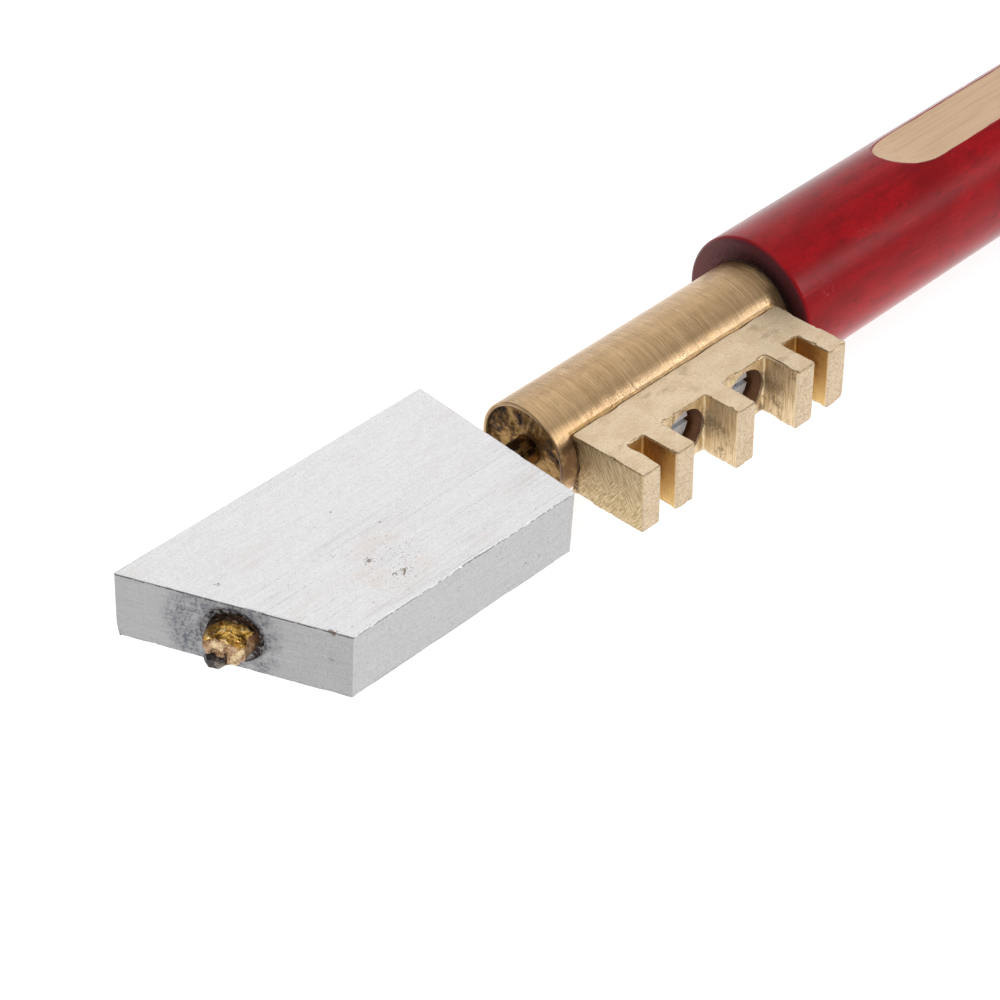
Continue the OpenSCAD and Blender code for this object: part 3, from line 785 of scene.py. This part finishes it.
post_rings[..., :2] *= 1 - (tip * (0.03 - swell * 0.5))[..., None]
post_rings[..., 0] *= np.where(post_rings[..., 0] > 0, 1 - 0.22 * tip, 1)
post_rings[..., 2] += tip * (swell - 0.06 - 0.16 * crack)
post_mesh = carried(skin("brass_post", leaning(post_rings, post_z)), nose)
smooth(post_mesh, 60)

post_brass, at = begin("heated_brass")
from_nose = seen_from(at, nose)
up, left, out = split(from_nose)
patches = cloud(at, (0.7, 0.7, 0.7), 4.0, 0.6)
fine = cloud(at, (0.12, 0.12, 0.12), 3.0, 0.6, 5.0)
streaks = cloud(from_nose, (0.7, 0.10, 0.5), 4.0, 0.65, 8.0)
tone = mix((0.50, 0.32, 0.19), (0.26, 0.13, 0.06), rise(patches, 0.42, 0.58))
tone = mix(tone, (0.66, 0.49, 0.30), rise(streaks, 0.50, 0.62) * 0.75)
tone = mix(tone, (0.22, 0.11, 0.06), rise(fine, 0.56, 0.68) * 0.6)
# The post's side towards the tool's right is painted darker brown: painted shade on its unlit side.
tone = mix(tone, (0.24, 0.13, 0.07), fall(left + 1.2 * patches, -0.95, -0.6) * 0.4)
dark_crack = fall((left + 0.1).absolute(), 0.03, 0.14) * fall(up, -0.3, -0.1) * rise(out, 0.9, 1.05)
tone = mix(tone, (0.05, 0.025, 0.015), dark_crack)
lobe_places = [
    ((0.2, 0.45, 1.15), 0.45), ((0.5, 0.45, 1.15), 0.3), ((-0.5, -0.7, 1.15), 0.45),
    ((0.0, -0.9, 1.1), 0.35), ((-1.0, -0.5, 1.1), 0.35), ((0.7, -1.4, 0.9), 0.3),
    ((1.0, -0.3, 1.1), 0.22)]
lobes = 0.0 * up
ragged_place = ruffled(from_nose, at, 2.5)
for spot, size in lobe_places:
    lobes = lobes.calc("MAXIMUM", lobes, fall(distance(ragged_place, spot), 0.5 * size, 1.15 * size))
tone = mix(tone, mix((0.86, 0.68, 0.42), (0.66, 0.46, 0.25), rise(fine, 0.5, 0.7)), lobes * 0.85)
# Its root by the solder is painted dark brown: painted shade where it meets the nose.
tone = mix(tone, (0.20, 0.10, 0.05), fall(out, 0.1, 0.4) * 0.6)
finish(at, tone, 0.34 + 0.2 * patches, patches + 0.5 * fine + lobes, 0.06, Metallic=1.0)
place_piece(post_mesh, post_brass, "head", "post_brass", "diamond_post")


# The braze: a lumpy golden crown that ran over the upper side of the post and froze there,
# shiny and rounded.

# The post's tip again. Above x = 0.62 it is raised by 0.09 sqrt(ridge) + beads * ridge, where
# ridge goes from 0 at the shore to 1. Below it, it is sunk into the post by 0.25 ridge.
crown_z = np.concatenate([np.linspace(0.0, shoulder_z, 12), shoulder_z_arc, np.full(13, face_z)])
crown_r = np.concatenate([np.linspace(neck_r, shoulder_r, 12), shoulder_r_arc,
                          np.linspace(face_r, 0.1, 14)[1:]])
crown_rings = round_rings(crown_r, crown_z, 200)
crown_rings[..., 2] -= (0.16 * (crown_r / face_r)**2 * (crown_z > 1.29))[:, None]
shore = crown_rings[..., 0] - 0.62 + 0.22 * lumps(crown_rings, 0.6, 72)
ridge = np.clip(shore / 0.22, -1, 1)
beads = 0.14 * lumps(crown_rings, 0.5, 71) + 0.02 * lumps(crown_rings, 0.25, 73)
raised = 0.09 * np.sqrt(np.abs(ridge)) + np.maximum(beads, -0.05) * np.abs(ridge)
bead = np.where(ridge > 0, raised, 0.25 * ridge)
crown_rings[..., :2] *= 1 + (bead / np.maximum(crown_r[:, None], 0.4) * 0.5)[..., None]
tip = np.clip((crown_z - 0.1) / 0.6, 0, 1)[:, None]
crown_rings[..., 2] += bead * tip - 0.03
crown_rings[..., 0] *= np.where(crown_rings[..., 0] > 0, 1 - 0.14 * tip, 1)
crown_mesh = carried(skin("braze_crown", leaning(crown_rings, crown_z)), nose)
smooth(crown_mesh, 60)

braze, at = begin("golden_braze")
patches = cloud(at, (0.5, 0.5, 0.5), 4.0, 0.6)
ripple = cloud(at, (0.42, 0.42, 0.42), 2.0, 0.5, 4.0)
up, left, out = split(seen_from(at, nose))
tone = mix((0.62, 0.37, 0.09), (0.36, 0.18, 0.035), rise(patches, 0.42, 0.58))
# The ripples that also give the bump are painted bright gold on their crests and dark in their hollows:
# painted highlights and painted shade.
tone = mix(tone, (1.0, 0.78, 0.40), rise(ripple, 0.57, 0.66) * 0.8)
tone = mix(tone, (0.12, 0.05, 0.015), fall(ripple, 0.36, 0.45) * 0.8)
tone = mix(tone, (0.06, 0.035, 0.025), fall(out + 0.5 * patches - 0.15 * left, 0.48, 0.72))
finish(at, tone, 0.2 + 0.2 * patches, ripple, 0.2, Metallic=1.0)
place_piece(crown_mesh, braze, "head", "braze", "tip_braze")


# The stone: a small grey industrial diamond, set low on the post's tip towards the longer side.
# The braze holds it, and only its cleaved upper facets show.
stone_turn = np.radians(60)
stone_off = 1.25
stone_at = np.array([-stone_off * np.sin(stone_turn), stone_off * np.cos(stone_turn), 1.02])
# A ball of seven sides and five rings, drawn in and out by lumps, and flattened.
lift = np.linspace(0, np.pi, 7)[1:-1]
stone_rings = round_rings(np.sin(lift), np.cos(lift), 7)
stone_rings *= (0.76 + 0.10 * lumps(stone_rings, 0.9, 81))[..., None] * np.array([0.85, 1.05, 0.8])
stone_mesh = carried(skin("grey_stone", stone_rings + stone_at), nose)

stone_grey, at = begin("grey_diamond")
veil = cloud(at, (0.4, 0.4, 0.4), 4.0, 0.6)
up, left, out = split(seen_from(at, nose))
# Near black, painted lighter grey-brown towards its lower side and the tool's right: painted light on
# those facets.
tone = mix((0.012, 0.008, 0.010), (0.22, 0.17, 0.13), rise(veil - 0.3 * left - 0.2 * up, 0.46, 0.70))
finish(at, tone, 0.25 + 0.3 * veil, veil, 0.05, IOR=1.5)
place_piece(stone_mesh, stone_grey, "head", "diamond", "diamond")
